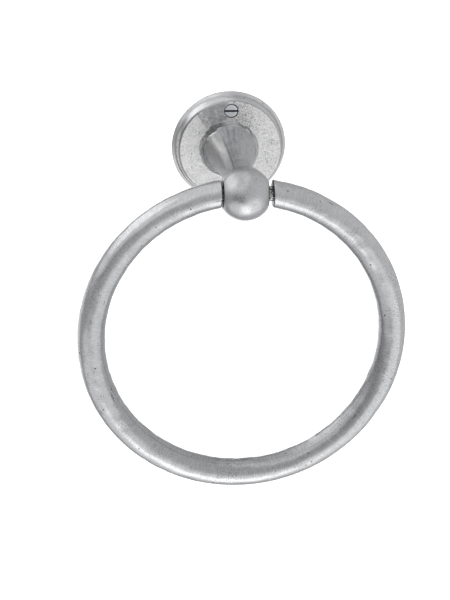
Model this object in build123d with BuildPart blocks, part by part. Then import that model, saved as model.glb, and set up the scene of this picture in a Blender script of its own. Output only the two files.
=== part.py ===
"""Towel ring: a cast wall bracket with a ball end, and an open ring that swings on a cross pin through the ball.

Millimetres, +Z up. The wall is the plane Y = 0, the bracket stands out of it towards -Y, and the origin is the
centre of the rose's back face.
"""

import os

from build123d import *

# wall rose
rose_d = 58.0
rose_t = 6.8
flange_edge = 1.0
flange_rise = 1.3
flange_w = 1.7
shoulder_w = 1.4

# neck and ball end
projection = 70.0
neck_foot_d = 28.0
neck_waist_d = 15.8
neck_cove_w = 1.6
neck_cove_h = 1.4
ball_d = 27.0
ball_across_flats = 22.7
ball_edge_round = 2.0
neck_ball_round = 2.5
neck_overlap = 1.5

# ring
ring_outer_d = 165.0
bar_d = 13.75
end_play = 2.8
ring_slide = 0.8
ring_end_chamfer = 0.6
ring_bore_depth = 8.0

# pivot pin
pin_d = 7.5
pin_running_clearance = 0.08
pin_push_clearance = 0.02
pin_end_clearance = 0.25
pin_chamfer = 0.5

# fixing screws
screw_spacing = 41.0
screw_hole_d = 4.0
sink_d = 7.3
sink_angle = 90.0
screw_head_d = 6.5
screw_head_land = 0.2
screw_seat_clearance = 0.03
screw_shank_d = 2.7
screw_thread_d = 3.5
screw_plain_length = 9.0
screw_length = 25.4
screw_point_length = 4.0
screw_tip_d = 0.6
screw_slot_w = 0.9
screw_slot_depth = 0.8

# places that follow from the sizes
rose_r = rose_d / 2
step_r = rose_r - flange_w
step_y = -(flange_edge + flange_rise)
face_r = step_r - shoulder_w
face_y = -rose_t
ball_r = ball_d / 2
ball_y = -projection
half_flats = ball_across_flats / 2
waist_r = neck_waist_d / 2
waist_y = ball_y + (ball_r**2 - waist_r**2) ** 0.5
bar_r = bar_d / 2
ring_r = ring_outer_d / 2 - bar_r
half_gap = half_flats + end_play / 2
ring_z = -((ring_r**2 - half_gap**2) ** 0.5)
pin_axis = Axis((0, ball_y, 0), (1, 0, 0))

# Bracket: rose, neck and ball are one sand casting, and the holes are drilled afterwards.
with BuildPart() as wall_bracket:
    with BuildSketch(Plane.XY) as rose_profile:
        with BuildLine() as rose_outline:
            Line((0, 0), (rose_r, 0))
            Line((rose_r, 0), (rose_r, -flange_edge))
            Line((rose_r, -flange_edge), (step_r, step_y))
            Line((step_r, step_y), (face_r, face_y))
            Line((face_r, face_y), (0, face_y))
            Line((0, face_y), (0, 0))
        make_face()
    revolve(axis=Axis.Y)

    with BuildSketch(Plane.XY) as neck_profile:
        with BuildLine() as neck_outline:
            Line((0, face_y), (neck_foot_d / 2, face_y))
            flare = TangentArc(
                (waist_r, waist_y), (neck_foot_d / 2, face_y), tangent=(0, 1)
            )
            Line((waist_r, waist_y), (waist_r, waist_y - neck_overlap))
            Line((waist_r, waist_y - neck_overlap), (0, waist_y - neck_overlap))
            Line((0, waist_y - neck_overlap), (0, face_y))
        make_face()
    revolve(axis=Axis.Y)

    with BuildSketch(Plane(origin=(0, ball_y, 0), z_dir=(0, 0, 1))) as ball_profile:
        Circle(ball_r)
        Rectangle(ball_across_flats, ball_d, mode=Mode.INTERSECT)
        fillet(ball_profile.vertices(), ball_edge_round)
        Rectangle(ball_d, ball_d, align=(Align.CENTER, Align.MAX), mode=Mode.SUBTRACT)
    revolve(axis=pin_axis)

    foot_edge = wall_bracket.edges().sort_by_distance((0, face_y, neck_foot_d / 2))[0]
    chamfer(foot_edge, neck_cove_w, neck_cove_h)
    waist_edge = wall_bracket.edges().sort_by_distance((0, waist_y, waist_r))[0]
    fillet(waist_edge, neck_ball_round)

    with BuildSketch(Plane.YZ) as cross_bore:
        with Locations((ball_y, 0)):
            Circle(pin_d / 2 + pin_running_clearance)
    extrude(amount=ball_r, both=True, mode=Mode.SUBTRACT)

    upper_seat = Plane(origin=(0, face_y, screw_spacing / 2), z_dir=(0, -1, 0))
    lower_seat = Plane(origin=(0, face_y, -screw_spacing / 2), z_dir=(0, -1, 0))
    with Locations(upper_seat, lower_seat):
        CounterSinkHole(screw_hole_d / 2, sink_d / 2, counter_sink_angle=sink_angle)

# Ring: a round bar bent to a circle, with a gap cut for the ball and both ends bored for the pin.
with BuildPart() as ring:
    with BuildSketch(Plane.YZ.offset(ring_slide)) as bar_section:
        with Locations((ball_y, ring_z + ring_r)):
            Circle(bar_r)
    revolve(axis=Axis((ring_slide, ball_y, ring_z), (0, 1, 0)))

    ring_plane = Plane(origin=(ring_slide, ball_y, ring_z), x_dir=(1, 0, 0), z_dir=(0, -1, 0))
    with BuildSketch(ring_plane) as end_gap:
        Rectangle(2 * half_gap, ring_outer_d, align=(Align.CENTER, Align.MIN))
    extrude(amount=bar_d, both=True, mode=Mode.SUBTRACT)
    chamfer(ring.faces().filter_by(Axis.X).edges(), ring_end_chamfer)

    with BuildSketch(Plane.YZ.offset(ring_slide)) as end_bores:
        with Locations((ball_y, 0)):
            Circle(pin_d / 2 + pin_push_clearance)
    extrude(amount=half_gap + ring_bore_depth, both=True, mode=Mode.SUBTRACT)

# Pivot pin: plain round bar pushed into both ends of the ring, turning in the ball.
pin_length = 2 * (half_gap + ring_bore_depth - pin_end_clearance)
with BuildPart() as pivot_pin:
    with BuildSketch(Plane.YZ.offset(ring_slide)) as pin_section:
        with Locations((ball_y, 0)):
            Circle(pin_d / 2)
    extrude(amount=pin_length / 2, both=True)
    chamfer(pivot_pin.faces().filter_by(Axis.X).edges(), pin_chamfer)

# Screws: slotted countersunk wood screws, sunk just below the rose's face.
sink_slope = (sink_d - screw_head_d) / 2
head_y = face_y + sink_slope - screw_seat_clearance - screw_head_land
neck_y = head_y + screw_head_land + (screw_head_d - screw_shank_d) / 2
thread_y = head_y + screw_plain_length
tip_y = head_y + screw_length
upper_axis = Axis((0, 0, screw_spacing / 2), (0, 1, 0))
with BuildPart() as fixing_screws:
    with BuildSketch(Plane.XY.offset(screw_spacing / 2)) as screw_profile:
        with BuildLine() as screw_outline:
            Polyline(
                (0, head_y),
                (screw_head_d / 2, head_y),
                (screw_head_d / 2, head_y + screw_head_land),
                (screw_shank_d / 2, neck_y),
                (screw_shank_d / 2, thread_y),
                (screw_thread_d / 2, thread_y),
                (screw_thread_d / 2, tip_y - screw_point_length),
                (screw_tip_d / 2, tip_y),
                (0, tip_y),
                close=True,
            )
        make_face()
    revolve(axis=upper_axis)
    slot_plane = Plane(origin=(0, head_y, screw_spacing / 2), x_dir=(1, 0, 0), z_dir=(0, 1, 0))
    with BuildSketch(slot_plane) as slot:
        Rectangle(2 * screw_head_d, screw_slot_w)
    extrude(amount=screw_slot_depth, mode=Mode.SUBTRACT)
    mirror(about=Plane.XY)

wall_bracket.part.label = "wall_bracket"
ring.part.label = "ring"
pivot_pin.part.label = "pivot_pin"
fixing_screws.part.label = "fixing_screws"

os.makedirs("parts", exist_ok=True)
export_step(wall_bracket.part, "parts/wall_bracket.step")
export_step(ring.part, "parts/ring.step")
export_step(pivot_pin.part, "parts/pivot_pin.step")
export_step(fixing_screws.part, "parts/fixing_screws.step")
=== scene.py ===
"""Towel ring in satin cast pewter: wall bracket, two wood screws, pivot pin and open ring, on a pale studio floor."""

import bmesh
import bpy
import numpy as np
from mathutils import Matrix


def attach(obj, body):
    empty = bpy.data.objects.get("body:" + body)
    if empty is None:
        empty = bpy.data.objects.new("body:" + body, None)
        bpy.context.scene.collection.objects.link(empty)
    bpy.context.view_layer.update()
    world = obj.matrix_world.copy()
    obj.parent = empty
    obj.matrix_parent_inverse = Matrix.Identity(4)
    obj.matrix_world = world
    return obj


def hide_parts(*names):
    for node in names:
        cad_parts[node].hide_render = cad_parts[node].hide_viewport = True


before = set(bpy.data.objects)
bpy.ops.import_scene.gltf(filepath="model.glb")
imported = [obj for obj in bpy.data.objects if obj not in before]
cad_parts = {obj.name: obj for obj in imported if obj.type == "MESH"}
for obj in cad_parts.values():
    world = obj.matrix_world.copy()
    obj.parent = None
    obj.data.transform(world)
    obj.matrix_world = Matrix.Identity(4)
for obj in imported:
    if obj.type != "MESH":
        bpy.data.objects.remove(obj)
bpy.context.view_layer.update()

# Wall bracket: rose, flared neck and ball end in one piece of pewter, sand cast.
# The rim, the neck and the ball are linished to a satin finish; the rose's face keeps its cast skin,
# and a rough cove is left round the neck's foot where the belt can't reach.
MM = 0.001  # sizes of pieces are in millimetres; the wall is at Y = 0, and the room is on its minus side
TURN = 256
RIM_R, STEP_R, FACE_R = 28.99, 27.3, 25.9
STEP_Y, FACE_Y = -2.3, -6.8
BACK_ROUND, RIM_ROUND, FACE_ROUND = 0.4, 0.5, 0.5
SCREW_Z, HOLE_R, SINK_R = 20.5, 2.0, 3.65
SINK_END_Y = FACE_Y + SINK_R - HOLE_R
PIVOT_Y, BALL_R, FLAT_X, FLAT_ROUND = -70.0, 13.5, 11.35, 2.0
BALL_BORE_R, BORE_ROUND = 3.83, 0.35
WAIST_R, FOOT_R, FOOT_Y, FLARE, JOIN_ROUND, NECK_ROWS = 7.9, 14.0, -8.6, 3.2, 2.5, 64
angles = 2 * np.pi * np.arange(TURN + 1) / TURN


def weld(name, sheets):
    """One closed mesh from grids of points in millimetres: each grid's quads are laid side by side,
    points that coincide become one, collapsed quads go, and the faces are turned outwards."""
    points, corners, start = [], [], 0
    for sheet in sheets:
        rows, cols = sheet.shape[:2]
        n = start + np.arange(rows * cols).reshape(rows, cols)
        quads = np.stack([n[:-1, :-1], n[:-1, 1:], n[1:, 1:], n[1:, :-1]], -1)
        points.append(sheet.reshape(-1, 3) * MM)
        corners.append(quads.reshape(-1, 4))
        start += rows * cols
    mesh = bpy.data.meshes.new(name)
    mesh.from_pydata(np.concatenate(points).tolist(), [], np.concatenate(corners).tolist())
    bm = bmesh.new()
    bm.from_mesh(mesh)
    bmesh.ops.remove_doubles(bm, verts=bm.verts, dist=1e-6)
    bmesh.ops.dissolve_degenerate(bm, edges=bm.edges, dist=1e-7)
    bmesh.ops.recalc_face_normals(bm, faces=bm.faces)
    bm.to_mesh(mesh)
    bm.free()
    return mesh


def points_of(mesh):
    """Every point of a mesh, in millimetres, and its normal, as two arrays."""
    points = np.empty(len(mesh.vertices) * 3)
    normals = np.empty(len(mesh.vertices) * 3)
    mesh.vertices.foreach_get("co", points)
    mesh.vertex_normals.foreach_get("vector", normals)
    return points.reshape(-1, 3) / MM, normals.reshape(-1, 3)


def push(mesh, points, normals, depth):
    """Moves each point along its normal by its own depth in millimetres."""
    moved = (points + normals * depth[:, None]) * MM
    mesh.vertices.foreach_set("co", moved.ravel())
    mesh.update()


def ripples(points, wavelength, seed, count=24):
    """Smooth uneven height about 0: many sine waves of about one length in random directions,
    added up and divided by the root of their number."""
    rng = np.random.default_rng(seed)
    way = rng.normal(size=(count, 3))
    way *= (2 * np.pi / wavelength / np.linalg.norm(way, axis=1) * rng.uniform(0.7, 1.4, count))[:, None]
    waves = np.sin(points @ way.T + rng.uniform(0, 2 * np.pi, count))
    return waves.sum(axis=1) / np.sqrt(count)


def finish_piece(mesh, body, node, sharp=35.0):
    """Puts a mesh into the scene as the shown form of a solid, smooth except at edges sharper than an angle."""
    mesh.polygons.foreach_set("use_smooth", np.ones(len(mesh.polygons), bool))
    mesh.set_sharp_from_angle(angle=np.radians(sharp))
    piece = bpy.data.objects.new(mesh.name, mesh)
    bpy.context.scene.collection.objects.link(piece)
    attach(piece, body)
    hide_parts(node)


def bend(centre, radius, first, last, rows=7):
    """Points of an arc in a profile, from one angle to another in degrees."""
    a = np.radians(np.linspace(first, last, rows))
    return np.stack([centre[0] + radius * np.cos(a), centre[1] + radius * np.sin(a)], 1)


def turned(profile, turns=angles):
    """A profile of radius and height carried round the Y axis."""
    r, y = np.asarray(profile, float).T[:, :, None]
    return np.stack([r * np.cos(turns), y + 0 * turns, r * np.sin(turns)], -1)


def sector_rim(r_in, r_out, y, first, last, steps):
    """The closed rim of a sector of the rose: along the inner arc, out, back along the outer arc, and in."""
    a = angles[first : last + 1]
    r = np.linspace(r_in, r_out, steps + 1)
    arc = np.concatenate([a, np.full(steps - 1, a[-1]), a[::-1], np.full(steps - 1, a[0])])
    reach = np.concatenate([0 * a + r_in, r[1:-1], 0 * a + r_out, r[-2:0:-1]])
    return np.stack([reach * np.cos(arc), y + 0 * arc, reach * np.sin(arc)], 1)


def round_hole(rim, hole, rows):
    """A sheet with a round hole: rows of points that go straight from the hole's edge to the rim round it."""
    t = np.linspace(0, 1, rows)[:, None, None]
    sheet = hole[None] * (1 - t) + rim[None] * t
    return np.concatenate([sheet, sheet[:, :1]], axis=1)


# the rose's face and back: two sectors with a countersunk hole each, and plain sheets between them
FACE_IN, FACE_OUT, BACK_IN, BACK_OUT = 16.6, 25.1, 13.0, 27.6
RADIAL_STEPS, HALF_SECTOR, FACE_ROWS, BACK_ROWS = 24, 16, 14, 8
TOP, BOTTOM = TURN // 4, 3 * TURN // 4
drill_r, drill_y = np.array([
    (SINK_R + 0.25, FACE_Y), (SINK_R + 0.1, FACE_Y + 0.04), (SINK_R - 0.05, FACE_Y + 0.16),
    (SINK_R - 0.3, FACE_Y + 0.41), (HOLE_R + 0.6, SINK_END_Y - 0.6), (HOLE_R, SINK_END_Y),
    (HOLE_R, -2.5), (HOLE_R, 0.0),
]).T[:, :, None]
sheets = []
for middle in (TOP, BOTTOM):
    first, last = middle - HALF_SECTOR, middle + HALF_SECTOR
    face_rim = sector_rim(FACE_IN, FACE_OUT, FACE_Y, first, last, RADIAL_STEPS)
    back_rim = sector_rim(BACK_IN, BACK_OUT, 0.0, first, last, RADIAL_STEPS)
    hole_z = SCREW_Z * np.sin(angles[middle])
    around = np.arctan2(face_rim[:, 2] - hole_z, face_rim[:, 0])
    wall = np.stack([drill_r * np.cos(around), drill_y + 0 * around, hole_z + drill_r * np.sin(around)], -1)
    sheets.append(np.concatenate([wall, wall[:, :1]], axis=1))
    sheets.append(round_hole(face_rim, wall[0], FACE_ROWS))
    sheets.append(round_hole(back_rim, wall[-1], BACK_ROWS))
face_r = np.linspace(FACE_IN, FACE_OUT, RADIAL_STEPS + 1)
back_r = np.linspace(BACK_IN, BACK_OUT, RADIAL_STEPS + 1)
for start, stop in ((TOP, BOTTOM), (BOTTOM, TURN + TOP)):
    side = 2 * np.pi * np.arange(start + HALF_SECTOR, stop - HALF_SECTOR + 1) / TURN
    sheets.append(turned(np.stack([face_r, FACE_Y + 0 * face_r], 1), side))
    sheets.append(turned(np.stack([back_r, 0 * back_r], 1), side))
sheets.append(turned([(0.0, 0.0), (4.0, 0.0), (9.0, 0.0), (BACK_IN, 0.0)]))

# the rim from the back to the face: a rounded lip, a worn step and a tapered side
sheets.append(turned(np.concatenate([
    [(BACK_OUT, 0.0), (28.2, 0.0)],
    bend((RIM_R - BACK_ROUND, -BACK_ROUND), BACK_ROUND, 90, 0),
    bend((RIM_R - RIM_ROUND, -0.75), RIM_ROUND, 0, -52),
    [(28.2, -1.5), (27.75, -1.88), (27.5, -2.06), (STEP_R, -2.24), (27.2, -2.5), (27.13, -2.75)],
    [(26.97, -3.3), (26.72, -4.1), (26.3, -5.4)],
    bend((FACE_R - 0.54, FACE_Y + FACE_ROUND), FACE_ROUND, 18, -90, 8),
    [(FACE_OUT, FACE_Y)],
])))

# the neck from the face to the ball: a cove at its foot, a flare that follows a power of the height, and a rounded join
waist_y = PIVOT_Y + np.sqrt(BALL_R**2 - WAIST_R**2)
join_x = WAIST_R + JOIN_ROUND
join_y = PIVOT_Y + np.sqrt((BALL_R + JOIN_ROUND) ** 2 - join_x**2)
join_end = np.degrees(np.arctan2(PIVOT_Y - join_y, -join_x)) + 360
neck_y = np.linspace(FOOT_Y, join_y, NECK_ROWS)
neck_r = WAIST_R + (FOOT_R - WAIST_R) * np.clip((neck_y - waist_y) / (FACE_Y - waist_y), 0, 1) ** FLARE
neck_profile = np.concatenate([
    [(FACE_IN, FACE_Y), (16.2, FACE_Y), (15.8, -6.82), (15.4, -6.9), (15.0, -7.06)],
    [(14.6, -7.3), (14.25, -7.62), (13.95, -7.98), (13.65, -8.3)],
    np.stack([neck_r, neck_y], 1),
    bend((join_x, join_y), JOIN_ROUND, 180, join_end, 9)[1:],
])
sheets.append(turned(neck_profile))

# the ball, turned about the pin: a zone of a sphere between two flats, with a cross bore and the neck's opening
ZONE_X, ZONE_STEPS, OPEN_STEPS = 10.4, 48, 40
centre = np.array([0.0, PIVOT_Y, 0.0])


def about_pin(profile, turns=angles):
    """A profile of sideways place and radius carried round the pin's axis, starting towards the wall."""
    x, r = np.asarray(profile, float).T[:, :, None]
    return np.stack([x + 0 * turns, PIVOT_Y + r * np.cos(turns), r * np.sin(turns)], -1)


def on_ball_at(x):
    """A profile along the ball: its radius about the pin at each sideways place."""
    return np.stack([x, np.sqrt(BALL_R**2 - x**2)], 1)


zone = on_ball_at(np.linspace(-ZONE_X, ZONE_X, ZONE_STEPS + 1))
sheets.append(about_pin(zone, angles[OPEN_STEPS : TURN - OPEN_STEPS + 1]))
whole = about_pin(zone)
opening = np.concatenate([
    whole[-1, 0:OPEN_STEPS], whole[::-1, OPEN_STEPS][:-1], whole[0, OPEN_STEPS:0:-1],
    whole[0, TURN : TURN - OPEN_STEPS : -1], whole[:, TURN - OPEN_STEPS][:-1], whole[-1, TURN - OPEN_STEPS : TURN],
])
collar = turned(neck_profile[-1:])[0, :-1]
away = round_hole(opening, collar, 10) - centre
sheets.append(centre + away * (BALL_R / np.linalg.norm(away, axis=-1, keepdims=True)))
edge_x = FLAT_X - FLAT_ROUND
edge_r = np.sqrt((BALL_R - FLAT_ROUND) ** 2 - edge_x**2)
edge_turn = np.degrees(np.arctan2(edge_r, edge_x))
end_profile = np.concatenate([
    on_ball_at(np.linspace(ZONE_X, BALL_R * np.cos(np.radians(edge_turn)), 4)),
    bend((edge_x, edge_r), FLAT_ROUND, edge_turn, 0, 10)[1:],
    [(FLAT_X, r) for r in (6.0, 5.2, 4.6)],
    bend((FLAT_X - BORE_ROUND, BALL_BORE_R + BORE_ROUND), BORE_ROUND, 0, -90, 5),
    [(0.0, BALL_BORE_R)],
])
sheets.append(about_pin(end_profile))
sheets.append(about_pin(end_profile * (-1, 1)))

# the casting's relief: waves in the skin and the linished faces, the rough cove, a flat along the neck's upper left,
# and nodules and hollows on the face, each with its place, its height and its width
SKIN_IN, SKIN_OUT, COVE_R, COVE_WIDE = 15.0, 25.6, 14.9, 1.3
LINISHED_FROM_Y, BORE_REACH = -9.0, 12.0
FLAT_TURN, FLAT_HALF = np.radians((131.0, 13.0))
BLEMISHES = (
    (-16.6, 9.2, 0.42, 0.55), (-14.8, 6.4, 0.34, 0.5), (-14.9, -8.6, -0.35, 0.5),
    (7.3, 16.2, -0.3, 0.45), (18.9, -4.6, -0.35, 0.5), (9.3, 22.1, -0.25, 0.4),
)
bracket_mesh = weld("bracket_casting", sheets)
skin, normal = points_of(bracket_mesh)
x, y, z = skin.T
reach = np.hypot(x, z)
on_face = (y < FACE_Y + 0.1) & (y > FACE_Y - 0.6) & (reach > SKIN_IN) & (reach < SKIN_OUT)
linished = (y < LINISHED_FROM_Y) & (np.linalg.norm(skin - centre, axis=1) > BORE_REACH)
left_heavy = np.clip(0.55 - 0.5 * x / SKIN_IN + 0.25 * z / SKIN_IN, 0.15, 1.3)
cove = np.exp(-(((reach - COVE_R) / COVE_WIDE) ** 2)) * (y > -10) * (y < FACE_Y + 0.2)
depth = on_face * (0.05 * ripples(skin, 3.2, seed=3) + 0.04 * ripples(skin, 8.0, seed=4, count=16))
depth += cove * left_heavy * (0.12 * ripples(skin, 2.2, seed=5) + 0.07 * ripples(skin, 1.1, seed=6) - 0.20)
depth += linished * (0.035 * ripples(skin, 9.0, seed=7) - 0.05)
aside = np.arctan2(z, x) - FLAT_TURN
on_flat = linished & (np.abs(aside) < FLAT_HALF) & (y > join_y) & (reach < FOOT_R)
run_out = np.clip((-8.7 - y) / 1.6, 0, 1)
depth += on_flat * run_out * reach * (np.cos(FLAT_HALF) / np.cos(np.clip(aside, -FLAT_HALF, FLAT_HALF)) - 1)
for spot_x, spot_z, height, width in BLEMISHES:
    depth += on_face * height * np.exp(-((x - spot_x) ** 2 + (z - spot_z) ** 2) / width**2)
push(bracket_mesh, skin, normal, depth)
finish_piece(bracket_mesh, "bracket", "wall_bracket", 40.0)


def is_socket(value):
    """Whether a value comes from a node."""
    return isinstance(value, bpy.types.NodeSocket)


def plug(socket, value):
    """Joins a node's input to another node's output, or sets it to a plain value."""
    if is_socket(value):
        socket.id_data.links.new(value, socket)
    else:
        socket.default_value = value


def stir(tree, kind, settings=None, **sockets):
    """Adds one node: settings are its options, sockets are its inputs by name, each a value or a socket."""
    made = tree.nodes.new(kind)
    for key, value in (settings or {}).items():
        setattr(made, key, value)
    for key, value in sockets.items():
        plug(made.inputs[key.replace("_", " ")], value)
    return made


def new_finish(mesh, name):
    """Gives a mesh a new material, and returns the material's tree and its one shader."""
    finish = bpy.data.materials.new(name)
    finish.use_nodes = True
    mesh.materials.append(finish)
    return finish.node_tree, finish.node_tree.nodes["Principled BSDF"]


def in_mm(where):
    """The X, Y and Z of a place that is in metres, as millimetres."""
    scaled = stir(where.id_data, "ShaderNodeVectorMath", {"operation": "SCALE"}, Vector=where, Scale=1 / MM)
    return stir(where.id_data, "ShaderNodeSeparateXYZ", Vector=scaled.outputs["Vector"]).outputs


def calc(operation, *terms):
    """One sum on one or two numbers, each a value or a socket."""
    tree = next(term.id_data for term in terms if is_socket(term))
    made = stir(tree, "ShaderNodeMath", {"operation": operation})
    for socket, term in zip(made.inputs, terms):
        plug(socket, term)
    return made.outputs["Value"]


def product(*factors):
    """Several factors multiplied together."""
    result = factors[0]
    for factor in factors[1:]:
        result = calc("MULTIPLY", result, factor)
    return result


def total(*parts):
    """Several numbers added together."""
    result = parts[0]
    for part in parts[1:]:
        result = calc("ADD", result, part)
    return result


def ramp(value, low, high, to_low=0.0, to_high=1.0):
    """A smooth step from one number at the first border to another at the second."""
    borders = {"From_Min": low, "From_Max": high, "To_Min": to_low, "To_Max": to_high}
    made = stir(value.id_data, "ShaderNodeMapRange", {"interpolation_type": "SMOOTHSTEP"}, Value=value, **borders)
    return made.outputs["Result"]


def strip(value, start, full, fade, end):
    """A soft strip: it rises from the start to the full line and falls from the fade line to the end."""
    return product(ramp(value, start, full), ramp(value, end, fade))


def near(value, middle, gone, full, most=1.0):
    """A soft strip about a middle value: full up to one distance from it, gone at the other."""
    return ramp(calc("ABSOLUTE", calc("SUBTRACT", value, middle)), gone, full, 0.0, most)


def spot(where, middle, reach):
    """A soft round spot about a point in millimetres: full in its inner half and gone at its reach."""
    off = stir(where.id_data, "ShaderNodeVectorMath", {"operation": "DISTANCE"}, Vector=where)
    off.inputs[1].default_value = np.multiply(middle, MM)
    return ramp(off.outputs["Value"], reach * MM, 0.5 * reach * MM)


def noise(where, per_metre, detail=3.0, stretch=None, roughness=0.55):
    """Cloudy pattern from 0 to 1, with so many features to the metre, drawn out along an axis by a factor under 1."""
    if stretch:
        where = stir(where.id_data, "ShaderNodeMapping", Vector=where, Scale=stretch).outputs["Vector"]
    inputs = {"Vector": where, "Scale": per_metre, "Detail": detail, "Roughness": roughness}
    return stir(where.id_data, "ShaderNodeTexNoise", **inputs).outputs["Fac"]


def pits(where, per_metre, size, chance):
    """Sparse round specks: near the middle of some cells of a cell pattern, those whose random value is high."""
    cells = stir(where.id_data, "ShaderNodeTexVoronoi", Vector=where, Scale=per_metre)
    lot = stir(where.id_data, "ShaderNodeSeparateColor", Color=cells.outputs["Color"]).outputs["Red"]
    return product(ramp(cells.outputs["Distance"], size, 0.35 * size), calc("GREATER_THAN", lot, 1 - chance))


def between(factor, first, second):
    """A number that goes from the first to the second by a factor."""
    made = stir(factor.id_data, "ShaderNodeMix", {"data_type": "FLOAT"}, Factor=factor, A=first, B=second)
    return made.outputs["Result"]


def lay_on(factor, under, over):
    """Lays one colour over another by a factor. A colour is a socket, a grey level, or red, green and blue."""
    a, b = (colour if is_socket(colour) else (*np.broadcast_to(colour, 3), 1) for colour in (under, over))
    made = stir(factor.id_data, "ShaderNodeMix", {"data_type": "RGBA"}, Factor=factor, A=a, B=b)
    return made.outputs["Result"]


def coat(shader, colour, roughness, height, strength, relief, glance=1.0):
    """Joins a metal's colour, roughness and height to its shader. The relief is in millimetres, and the glance
    is the grey of reflections along the surface, the same all over."""
    bump = stir(shader.id_data, "ShaderNodeBump", Strength=strength, Distance=relief * MM, Height=height)
    plug(shader.inputs["Base Color"], colour)
    plug(shader.inputs["Roughness"], roughness)
    plug(shader.inputs["Normal"], bump.outputs["Normal"])
    shader.inputs["Metallic"].default_value = 1.0
    shader.inputs["Specular Tint"].default_value = (glance, glance, glance, 1)


# cast pewter: its patterns
tree, shader = new_finish(bracket_mesh, "cast_pewter")
where = stir(tree, "ShaderNodeTexCoord").outputs["Object"]
uneven = calc("SUBTRACT", noise(where, 330.0, 2.0), 0.5)
grain = noise(where, 1500.0, 5.0, roughness=0.65)
blotch = noise(where, 120.0)
dust = noise(where, 2000.0, 4.0, roughness=0.7)
salt = noise(where, 900.0, 6.0, roughness=0.8)
linish = noise(where, 2300.0, 3.0, (0.12, 1.0, 0.12))
streak = noise(where, 1100.0, 3.0, (1.0, 0.05, 1.0))
specks = pits(where, 420.0, 0.20, 0.20)

# where each face of the casting lies: distances in millimetres, outwards past a border or behind it towards the wall,
# and turns about the neck in radians
NECK_END_Y, BALL_FROM_Y = -60.0, -56.0
x, y, z = in_mm(where)
radius = calc("SQRT", total(product(x, x), product(z, z)))
turn = calc("ARCTAN2", z, x)
past_edge, past_step = calc("SUBTRACT", radius, FACE_R), calc("SUBTRACT", radius, STEP_R)
behind_face, behind_step = calc("SUBTRACT", y, FACE_Y), calc("SUBTRACT", y, STEP_Y)
front = ramp(behind_face, 1.2, 0.6)
bare_back = ramp(y, -0.6, -0.2)
on_neck = strip(y, NECK_END_Y, BALL_FROM_Y, -9.5, -8.8)
on_ball = ramp(y, BALL_FROM_Y, -59.0)
leftness = calc("DIVIDE", product(x, -1.0), radius)

# a patch rubbed bare at the face's upper left, with a scored line along its ragged edge, and the cast skin round it
slant = total(x, product(z, 0.667), 4.3)
ragged = total(slant, product(uneven, 5.0), product(calc("SUBTRACT", grain, 0.5), 4.0))
rubbed = product(ramp(ragged, -2.6, 2.2), ramp(x, -1.0, -2.4), ramp(z, 6.0, 9.0), front)
scored = product(near(total(slant, uneven), 0.0, 0.5, 0.1), strip(z, 10.5, 12.0, 19.0, 20.5), front)
unrubbed = calc("SUBTRACT", 1.0, product(rubbed, 0.9))
on_skin = product(ramp(radius, FOOT_R + 0.5, FOOT_R + 1.8), ramp(past_edge, 0.1, -0.2))
cast_skin = product(calc("GREATER_THAN", behind_face, -0.8), front, on_skin, unrubbed)
peppered = product(strip(x, -1.0, 3.0, 7.0, 15.0), ramp(z, 7.0, 12.0))
pepper = total(product(blotch, 0.8), product(peppered, 0.5), ramp(x, -12.0, 6.0, 0.0, 0.16))

# a dark rough band in the cove round the neck's foot, heaviest at the left and above, and a dark line on the neck's
# side of it
past_foot = total(radius, product(uneven, 2.2), -FOOT_R)
cove_end = ramp(total(past_foot, product(x, 0.055), product(z, -0.025)), 1.0, 0.5)
band = product(ramp(past_foot, -0.8, -0.1), cove_end, ramp(y, -9.2, -8.6), front)
foot_line = product(strip(past_foot, -0.9, -0.5, -0.3, 0.1), ramp(x, 4.0, -6.0), ramp(y, -10.2, -9.2), front)
upper_band = calc("MAXIMUM", near(turn, 2.25, 0.60, 0.30), near(turn, 0.95, 0.55, 0.25, 0.8))
band_weight = calc("MAXIMUM", ramp(x, 2.0, -8.0, 0.15, 0.5), upper_band)

# painted shade in the rim's step, along the face's left edge and over the rim's left side, in the gaps round the screw
# heads in the countersinks, and in the gaps beside the ball
step_shade = product(strip(past_step, -0.5, -0.1, 0.1, 0.6), strip(behind_step, -0.8, -0.3, 0.9, 1.5))
edge_line = product(strip(past_edge, -0.7, -0.4, 0.1, 0.4), ramp(behind_face, 1.2, 0.8), ramp(x, -10.0, -19.0))
left_rim_shade = product(ramp(past_edge, -0.4, -0.1), ramp(past_step, 0.2, -0.2), ramp(x, -20.0, -24.5, 0.0, -0.5))
from_hole_z = calc("SUBTRACT", calc("ABSOLUTE", z), SCREW_Z)
past_sink = calc("SUBTRACT", calc("SQRT", total(product(x, x), product(from_hole_z, from_hole_z))), SINK_R)
sink_shade = product(ramp(past_sink, 0.25, 0.05), ramp(behind_face, 0.04, 0.15), ramp(y, -1.0, -1.6))
gap_shade = product(ramp(calc("ABSOLUTE", x), FLAT_X - 0.35, FLAT_X - 0.01), ramp(y, BALL_FROM_Y, -58.0))

# the neck's flat: a painted shade line along the crease at its upper edge, polish with a painted highlight streak below
# that, and a dark patch on the ball
past_crease = calc("SUBTRACT", turn, FLAT_TURN - FLAT_HALF)
from_crease = product(calc("ABSOLUTE", total(past_crease, product(uneven, 0.06))), radius)
crease = product(ramp(from_crease, 0.7, 0.2), strip(y, NECK_END_Y, -57.0, -22.0, -12.5))
polish_and_highlight = product(on_neck, strip(past_crease, 0.0, 0.04, 0.39, 0.69), ramp(y, NECK_END_Y, -15.0))
dark_patch = product(ramp(y, -68.0, -74.0), near(x, -4.5, 4.8, 1.0), near(z, 1.8, 3.0, 0.6))
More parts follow.
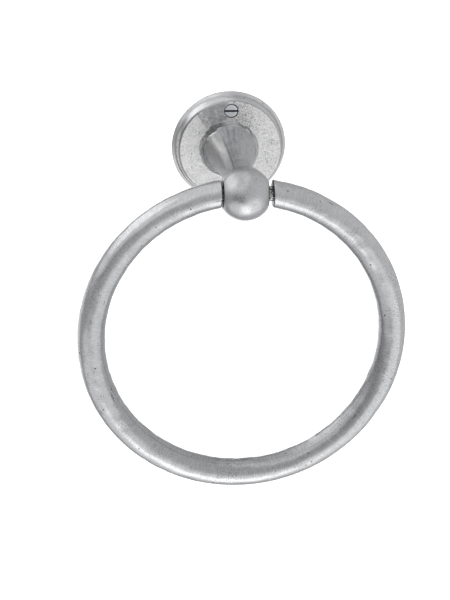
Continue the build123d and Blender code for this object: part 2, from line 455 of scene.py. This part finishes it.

# the nodules: a painted highlight on top of each, with a painted shadow below and to the right of it
SPOT_Y = FACE_Y - 0.3
nodules = [(spot_x, spot_z) for spot_x, spot_z, height, width in BLEMISHES if height > 0]
bead_highlights = calc("MAXIMUM", *(spot(where, (spot_x, SPOT_Y, spot_z), 0.7) for spot_x, spot_z in nodules))
shade = calc("MAXIMUM", *(spot(where, (spot_x + 0.4, SPOT_Y, spot_z - 0.4), 1.0) for spot_x, spot_z in nodules))

# the metal's own colour, and what is laid on it from the first to the last, marks and painted light and shade among
# them: where, how strongly and in which colour
PEWTER_DARK, PEWTER_LIGHT, BRIGHT = (0.50, 0.505, 0.517), (0.92, 0.925, 0.945), 1.0
belt = between(on_ball, between(on_neck, linish, streak), salt)
mottle = total(product(blotch, 0.30), product(ramp(grain, 0.30, 0.70), 0.35), product(ramp(belt, 0.30, 0.70), 0.35))
rim_bright = ramp(past_edge, -0.2, 0.3, 0.0, 0.19)
# the rim's left side is darkened here with painted shade
colour = lay_on(total(mottle, rim_bright, product(on_ball, -0.10), left_rim_shade), PEWTER_DARK, PEWTER_LIGHT)
for place, strength, over in (
    (product(polish_and_highlight, ramp(streak, 0.30, 0.60, 0.55, 1.0)), 1.0, BRIGHT),    # polish beside the crease, with a painted highlight in streaks
    (product(dark_patch, ramp(grain, 0.40, 0.60, 0.55, 0.2)), 1.0, 0.20),       # a dark patch on the ball
    (rubbed, 0.25, (0.40, 0.40, 0.41)),
    (product(on_neck, ramp(leftness, 0.76, 0.93)), 0.42, (0.26, 0.26, 0.265)),    # painted shade down the neck's left side
    (product(cast_skin, ramp(salt, 0.36, 0.58, 0.90, 1.0)), 1.0, BRIGHT),   # the frosty skin
    (product(cast_skin, ramp(grain, 0.52, 0.64)), 0.30, (0.42, 0.42, 0.43)),      # its small hollows
    (product(cast_skin, ramp(dust, 0.46, 0.64), pepper), 1.0, 0.24),        # dark grains in it
    (product(band, band_weight, ramp(grain, 0.32, 0.66, 1.0, 0.55)), 1.0, 0.13),
    (foot_line, 0.6, 0.12),
    # painted shade in the rim's step
    (step_shade, 0.22, 0.16),
    # painted shade line along the face's left edge
    (edge_line, 0.65, 0.12),
    (scored, 0.5, 0.14),
    # painted shade in the countersinks round the screw heads
    (sink_shade, 1.0, 0.03),
    # painted shade in the gaps beside the ball
    (gap_shade, 1.0, 0.05),
    # painted shade line along the neck's crease
    (crease, 0.45, 0.15),
    (specks, 0.6, 0.10),
    # painted shadows beside the nodules
    (shade, 0.6, 0.22),
    # painted highlights on the nodules
    (bead_highlights, 1.0, BRIGHT),
    (product(bare_back, ramp(grain, 0.30, 0.70, 0.95, 0.75)), 1.0, (0.30, 0.302, 0.31)),    # the unfinished back
):
    colour = lay_on(product(place, strength), colour, over)

# its gloss, duller on the skin, in the rough cove and the countersinks, on the back and on the ball, and its fine
# relief
dull = total(product(cast_skin, 0.18), product(calc("MAXIMUM", band, sink_shade), 0.28), product(bare_back, 0.30))
gloss = total(dull, product(blotch, 0.10), product(on_ball, 0.09), product(bead_highlights, -0.2), 0.17)
grain_height = product(grain, total(product(cast_skin, 0.9), product(band, 1.2), 0.07))
height = total(grain_height, product(cast_skin, salt, 1.1), product(belt, 0.08), product(specks, -0.8))
coat(shader, colour, gloss, height, strength=0.75, relief=0.35, glance=0.72)

# Fixing screws: two slotted countersunk wood screws in zinc-plated steel, driven through the rose.
# The heads sit just under the face; the threaded ends stand out of the back, where they bite into the wall.
HEAD_R, SHANK_R, THREAD_R, ROOT_R = 3.25, 1.35, 1.75, 1.15
HEAD_Y, SHANK_Y, THREAD_Y, TIP_Y, POINT = -6.63, -4.03, 2.37, 18.77, 4.0
SLOT_HALF, SLOT_DEEP, PITCH = 0.52, 0.8, 1.4
LAND_STEPS, FLOOR_STEPS, THREAD_ROWS = 40, 12, 168
TINY = 1e-9


def slot_angle(r):
    """Half the angle that the slot takes up at each radius, as a column."""
    return np.arcsin(np.minimum(1, SLOT_HALF / np.maximum(r, TINY)))[:, None]


def wood_screw(z, slot_turn):
    """Rows go from the head's middle over its rim and down the shank. Columns lie in four groups, two on the slot's
    floor and two on the lands: at each radius the groups meet where the slot's straight edge crosses it.
    The thread is a ridge that rises where the turn and the depth together make a whole number of pitches."""
    floor_y = HEAD_Y + SLOT_DEEP
    floor_r = HEAD_R - (SLOT_DEEP - 0.2)
    between_lands = [(0, 0), (SLOT_HALF / 2, 0), (SLOT_HALF, 0)]
    head_r, head_y = np.array(between_lands + [
        (SLOT_HALF, 0), (0.8, 0), (1.3, 0), (1.9, 0), (2.5, 0), (2.9, 0.01), (3.1, 0.03), (3.2, 0.08), (HEAD_R, 0.2),
        (3.0, 0.45), (floor_r, SLOT_DEEP), (2.2, 1.25), (1.7, 1.75), (SHANK_R, 2.1),
    ]).T
    shank_y = np.linspace(SHANK_Y, THREAD_Y, 8)
    thread_y = np.linspace(THREAD_Y, TIP_Y, THREAD_ROWS)[1:]
    taper = np.clip((TIP_Y - thread_y) / POINT, 0.0, 1.0) ** 0.8
    y = np.concatenate([HEAD_Y + head_y, shank_y, thread_y])
    r = np.concatenate([head_r, np.full(shank_y.size, SHANK_R), ROOT_R * taper])
    edge_r = np.concatenate([head_r, np.full(shank_y.size + thread_y.size, SHANK_R)])
    above = y < floor_y
    low_r, low_y = np.where(above, np.minimum(r, floor_r), r), np.where(above, floor_y, y)
    land_edge = slot_angle(edge_r)
    floor_edge = slot_angle(np.where(above, np.minimum(edge_r, floor_r), edge_r))
    floor = floor_edge * np.linspace(-1, 1, FLOOR_STEPS + 1)
    land = land_edge + np.linspace(0, 1, LAND_STEPS + 1) * (np.pi - 2 * land_edge)
    groups = [floor, land, np.pi + floor, np.pi + land, 2 * np.pi + floor[:, :1]]
    turn = np.concatenate(groups, 1)
    on_floor = np.repeat([True, False, True, False, True], [group.shape[1] for group in groups])
    in_slot = on_floor | (np.arange(y.size) < len(between_lands))[:, None]
    height = np.where(in_slot, low_y[:, None], y[:, None])
    phase = (height / PITCH + turn / (2 * np.pi)) % 1.0
    ridge = np.clip(1 - np.abs(phase - 0.5) / 0.30, 0, 1)
    fade = np.clip((height - THREAD_Y) / 1.2, 0, 1) * np.clip((TIP_Y - height) / 2.2, 0, 1)
    radius = np.where(on_floor, low_r[:, None], r[:, None]) + (THREAD_R - ROOT_R) * ridge * fade
    return np.stack([radius * np.cos(turn + slot_turn), height, z + radius * np.sin(turn + slot_turn)], -1)


screw_mesh = weld("wood_screws", [wood_screw(SCREW_Z, 0.0), wood_screw(-SCREW_Z, 0.6)])
finish_piece(screw_mesh, "bracket", "fixing_screws", 30.0)

# zinc plate: bright and cloudy on the head, with painted shade in the slot and under the rim, and duller down the shank
ZINC_BLUE, ZINC_DULL, SLOT_SHADE = (0.86, 0.91, 0.97), (0.40, 0.42, 0.45), 0.035
tree, shader = new_finish(screw_mesh, "zinc_plate")
where = stir(tree, "ShaderNodeTexCoord").outputs["Object"]
y = in_mm(where)["Y"]
cloud = noise(where, 900.0, 4.0)
slot_shade = strip(y, -6.45, -6.2, -4.6, -4.2)
colour = lay_on(cloud, ZINC_BLUE, BRIGHT)
colour = lay_on(ramp(y, -4.6, -2.0), colour, ZINC_DULL)
# painted shade in the slot and under the head's rim
colour = lay_on(slot_shade, colour, SLOT_SHADE)
gloss = total(ramp(cloud, 0.3, 0.7, 0.30, 0.42), product(slot_shade, 0.3))
coat(shader, colour, gloss, cloud, strength=0.25, relief=0.1)

# Pivot pin: plain round steel bar through the ball, with its ends pushed into the ring.
# It shows only in the gaps beside the ball, dull and scored from turning in the casting.
PIN_R, PIN_HALF, PIN_EDGE, SLIDE = 3.75, 20.5, 0.5, 0.8
rod = np.linspace(-PIN_HALF + PIN_EDGE, PIN_HALF - PIN_EDGE, 120)
pin_profile = np.concatenate([
    [(-PIN_HALF, 0.0), (-PIN_HALF, 2.0), (-PIN_HALF, PIN_R - PIN_EDGE)],
    np.stack([rod, np.full(rod.size, PIN_R)], 1),
    [(PIN_HALF, PIN_R - PIN_EDGE), (PIN_HALF, 2.0), (PIN_HALF, 0.0)],
])
pin_mesh = weld("pivot_rod", [about_pin(pin_profile + (SLIDE, 0.0), angles[::4])])
skin, normal = points_of(pin_mesh)
in_gap = (np.abs(normal[:, 0]) < 0.5) & (skin[:, 0] > FLAT_X - 0.2) & (skin[:, 0] < FLAT_X + 2.5)
push(pin_mesh, skin, normal, in_gap * (0.12 * ripples(skin, 1.6, seed=11) - 0.14))
finish_piece(pin_mesh, "ring", "pivot_pin")

# dull steel: slanting score marks, light where they are rubbed and nearly black between
STEEL_BLACK, STEEL_RUBBED = (0.09, 0.088, 0.085), (0.80, 0.79, 0.78)
tree, shader = new_finish(pin_mesh, "dull_steel")
where = stir(tree, "ShaderNodeTexCoord").outputs["Object"]
slanted = stir(tree, "ShaderNodeMapping", Vector=where, Rotation=(0.0, 0.7, 0.0)).outputs["Vector"]
score = noise(slanted, 900.0, 4.0, (1.4, 0.5, 0.45))
colour = lay_on(ramp(score, 0.40, 0.60), STEEL_BLACK, STEEL_RUBBED)
coat(shader, colour, ramp(score, 0.3, 0.7, 0.5, 0.28), score, strength=0.6, relief=0.3)

# Ring: a round pewter bar cast as an open circle, its ends cut square to the pin and bored for it.
# It is linished across the bar, which leaves fine cross marks, soft waves, a few casting pits
# and flecks of the mould's parting line along its inside.
RING_R, BAR_R, HALF_GAP, END_ROUND, BORE_R, BORE_DEEP, BORE_EDGE = 75.625, 6.875, 12.75, 0.7, 3.77, 8.0, 0.25
RING_Z = -np.sqrt(RING_R**2 - HALF_GAP**2)
BAR_TURN, BAR_STEPS = 96, 760
phi = 2 * np.pi * np.arange(BAR_TURN + 1) / BAR_TURN


def bar_lines(bar_r, gap, along):
    """Points of the bent bar at shares of its length: each line along it is an arc about the ring's middle
    that starts and stops where it meets the upright end planes."""
    out = RING_R + bar_r * np.cos(phi)
    stop = np.arcsin(gap / out)
    turn = stop + along[:, None] * (2 * np.pi - 2 * stop)
    sideways, up = SLIDE + out * np.sin(turn), RING_Z + out * np.cos(turn)
    return np.stack([sideways, PIVOT_Y + bar_r * np.sin(phi) + 0 * turn, up], -1)


def ring_end():
    """The right end from the bottom of its bore outwards: bore, flat end face and rounded edge."""
    d, r = np.array([
        (BORE_DEEP, 0.0), (BORE_DEEP, BORE_R * 0.5), (BORE_DEEP, BORE_R), (5.0, BORE_R), (2.0, BORE_R),
        (BORE_EDGE, BORE_R), (0.0, BORE_R + BORE_EDGE),
    ]).T[:, :, None]
    bore = np.stack([SLIDE + HALF_GAP + d + 0 * phi, PIVOT_Y + r * np.sin(phi), r * np.cos(phi)], -1)
    edge = np.concatenate([
        bar_lines(BAR_R - END_ROUND * (1 - np.cos(b)), HALF_GAP + END_ROUND * (1 - np.sin(b)), np.zeros(1))
        for b in np.radians(np.linspace(90, 15, 6))
    ])
    t = np.linspace(0, 1, 6)[1:-1, None, None]
    return np.concatenate([bore, bore[-1] * (1 - t) + edge[:1] * t, edge])


right_end = ring_end()
left_end = (right_end * (-1, 1, 1) + (2 * SLIDE, 0, 0))[::-1]
bar = bar_lines(BAR_R, HALF_GAP + END_ROUND, np.linspace(0, 1, BAR_STEPS + 1))
ring_mesh = weld("ring_bar", [np.concatenate([right_end, bar, left_end])])

# the bar's relief: it is fuller inside and most at the lower left, waves lie over that, and a seam runs inside
FULLER, FULLER_LEFT, SEAM_HALF = 0.14, 0.42, 0.55
LOWER_LEFT = 1.22  # radians from the ring's lowest point
skin, normal = points_of(ring_mesh)
flat_x, flat_z = skin[:, 0] - SLIDE, skin[:, 2] - RING_Z
along = RING_R * np.arctan2(flat_x, -flat_z)
across = np.hypot(flat_x, flat_z) - RING_R
through = skin[:, 1] - PIVOT_Y
unbent = np.stack([along, across, through], 1)
outside = np.hypot(across, through) > BAR_R - 0.3
left_low = np.clip(np.cos(along / RING_R + LOWER_LEFT), 0, 1)
fuller_inside = (FULLER + FULLER_LEFT * left_low) * np.clip(-across / BAR_R, 0, 1)
waves = 0.06 * ripples(unbent, 17.0, seed=21) + 0.04 * ripples(unbent, 7.0, seed=22)
most = -0.01 + 0.75 * np.clip((5.5 - across) / 7.0, 0, 1)
seam = np.exp(-((through / SEAM_HALF) ** 2)) * (across < 0)
depth = outside * np.minimum(waves + fuller_inside - 0.02, most)
depth += outside * seam * 0.16 * np.clip(ripples(unbent * (1, 0, 0), 9.0, seed=23, count=12), 0, 1)
push(ring_mesh, skin, normal, depth)
straight = ring_mesh.attributes.new("unbent_bar", "FLOAT_VECTOR", "POINT")
straight.data.foreach_set("vector", (unbent * MM).ravel())
finish_piece(ring_mesh, "ring", "ring")

# linished pewter: its patterns follow the straight bar, so that the belt's marks run across it all the way round
tree, shader = new_finish(ring_mesh, "linished_pewter")
where = stir(tree, "ShaderNodeAttribute", {"attribute_name": "unbent_bar"}).outputs["Vector"]
in_bar = in_mm(where)
across, through = in_bar["Y"], in_bar["Z"]
marks = noise(where, 1700.0, 4.0, (1.0, 0.22, 0.22), 0.6)
grain = noise(where, 1700.0, 4.0, roughness=0.6)
cloud = noise(where, 110.0, 4.0)
specks = pits(where, 260.0, 0.17, 0.20)
parting = product(near(through, 0.0, 1.4, 0.4), calc("LESS_THAN", across, 0.0))
broken = product(ramp(noise(where, 620.0, 3.0, (0.4, 1.0, 1.0)), 0.50, 0.62), ramp(noise(where, 45.0), 0.45, 0.6))
flecks = product(parting, broken)
scuffs = ramp(noise(where, 420.0, 3.0, (0.22, 1.0, 1.0)), 0.66, 0.74, 0.0, 0.45)
pitting = product(ramp(noise(where, 1500.0, 2.0), 0.54, 0.64), ramp(noise(where, 55.0), 0.52, 0.62, 0.0, 0.40))
place = in_mm(stir(tree, "ShaderNodeTexCoord").outputs["Object"])
# painted shade on the ring's end faces beside the ball
end_shade = product(near(place["X"], SLIDE, HALF_GAP + 0.55, HALF_GAP + 0.15), ramp(place["Z"], -12.0, -9.0))

# darker on the inside of the ring than on the outside; marks and dirt in pits lie over that, and painted shade on the
# ends that face the ball
BAR_DARK, BAR_LIGHT, PIT_DIRT, END_SHADE = (0.285, 0.29, 0.30), (0.955, 0.96, 0.98), 0.10, 0.05
mottle = total(product(cloud, 0.20), product(ramp(marks, 0.30, 0.70), 0.16), product(ramp(grain, 0.30, 0.70), 0.14))
colour = lay_on(total(mottle, ramp(across, -6.8, 6.8, 0.10, 0.40)), BAR_DARK, BAR_LIGHT)
colour = lay_on(total(product(specks, 0.85), product(flecks, 0.4), scuffs, pitting), colour, PIT_DIRT)
# painted shade on the ends that face the ball
colour = lay_on(end_shade, colour, END_SHADE)
gloss = total(product(cloud, 0.12), 0.18)
height = total(product(marks, 0.10), product(grain, 0.08), product(specks, -0.8), product(flecks, -1.0))
coat(shader, colour, gloss, height, strength=0.6, relief=0.25, glance=0.9)

# Studio: a plain pale floor well below the part, and soft round lights in a dim room all round it.
# The floor is lit evenly and stays out of the metal's reflections, which come from the lights alone.
FLOOR_Z, FLOOR_HALF = -0.42, 6.0
edge = np.array([(-1, -1), (1, -1), (1, 1), (-1, 1)]) * FLOOR_HALF
floor_mesh = bpy.data.meshes.new("studio_floor")
floor_mesh.from_pydata(np.column_stack([edge, np.full(4, FLOOR_Z)]).tolist(), [], [(0, 1, 2, 3)])
floor = bpy.data.objects.new("studio_floor", floor_mesh)
bpy.context.scene.collection.objects.link(floor)
floor.visible_glossy = floor.visible_diffuse = floor.visible_shadow = False
tree, shader = new_finish(floor_mesh, "pale_floor")
shader.inputs["Base Color"].default_value = (0.86, 0.86, 0.86, 1)
shader.inputs["Roughness"].default_value = 0.9
shader.inputs["Emission Color"].default_value = (1, 1, 1, 1)
shader.inputs["Emission Strength"].default_value = 1.0

# each light: its bearing from the front and its height in degrees, where it starts and stops fading, and its strength
ROOM = 0.345
SOFT_LIGHTS = (
    (180, -20, 30, 35, 1.40),    # behind and low, the strongest: it draws the bright line under the ring
    (-90, 55, 45, 55, 0.35),     # a large soft box high on the left
    (-95, 40, 15, 25, 0.45),     # its brighter middle
    (-135, 30, 8, 18, 0.50),     # a smaller one beside it, further back
    (-130, -20, 15, 25, 0.45),   # low on the left, behind
    (-40, -55, 25, 45, 0.40),    # low on the left, in front
    (0, -55, 10, 25, 0.50),      # low in front
    (35, -40, 30, 40, 0.35),     # low on the right, in front
    (75, -5, 35, 120, 0.25),     # a wide fill from the right
    (-20, 35, 10, 20, 0.15),     # weak, above the camera
)


def towards(bearing, tilt):
    """The direction at a bearing from the front and a height above level, both in radians."""
    return np.array([np.sin(bearing) * np.cos(tilt), -np.cos(bearing) * np.cos(tilt), np.sin(tilt)])


world = bpy.data.worlds.new("studio_air")
world.use_nodes = True
background = world.node_tree.nodes["Background"]
background.inputs["Color"].default_value = (1, 1, 1, 1)
way = stir(world.node_tree, "ShaderNodeTexCoord").outputs["Generated"]
glow = ROOM
for bearing, tilt, full, none, bright in SOFT_LIGHTS:
    facing = stir(world.node_tree, "ShaderNodeVectorMath", {"operation": "DOT_PRODUCT"}, Vector=way)
    facing.inputs[1].default_value = towards(*np.radians((bearing, tilt)))
    glow = total(glow, ramp(facing.outputs["Value"], *np.cos(np.radians((none, full))), 0.0, bright))
plug(background.inputs["Strength"], glow)
bpy.context.scene.world = world
bpy.context.scene.view_settings.view_transform = "Standard"

# the camera looks from a little left of the front and from above, with a long lens
AZIMUTH, ELEVATION, ROLL = np.radians((-7.5, 22.2, 2.0))
FOCAL_PX, DISTANCE, PICTURE_H, SENSOR = 3967, 2.0, 600, 36.0
TARGET = np.array([-0.0042, -0.040, -0.0686])
to_camera = towards(AZIMUTH, ELEVATION)
to_right = np.cross(-to_camera, (0, 0, 1))
to_right /= np.linalg.norm(to_right)
to_top = np.cross(to_right, -to_camera)
lens = bpy.data.cameras.new("camera")
lens.sensor_width, lens.sensor_fit = SENSOR, "AUTO"
lens.lens = FOCAL_PX / PICTURE_H * SENSOR
lens.clip_end = 50.0
camera = bpy.data.objects.new("camera", lens)
seat = np.eye(4)
seat[:3, 0] = np.cos(ROLL) * to_right + np.sin(ROLL) * to_top
seat[:3, 1] = -np.sin(ROLL) * to_right + np.cos(ROLL) * to_top
seat[:3, 2] = to_camera
seat[:3, 3] = TARGET + to_camera * DISTANCE
camera.matrix_world = Matrix(seat.tolist())
bpy.context.scene.collection.objects.link(camera)
bpy.context.scene.camera = camera
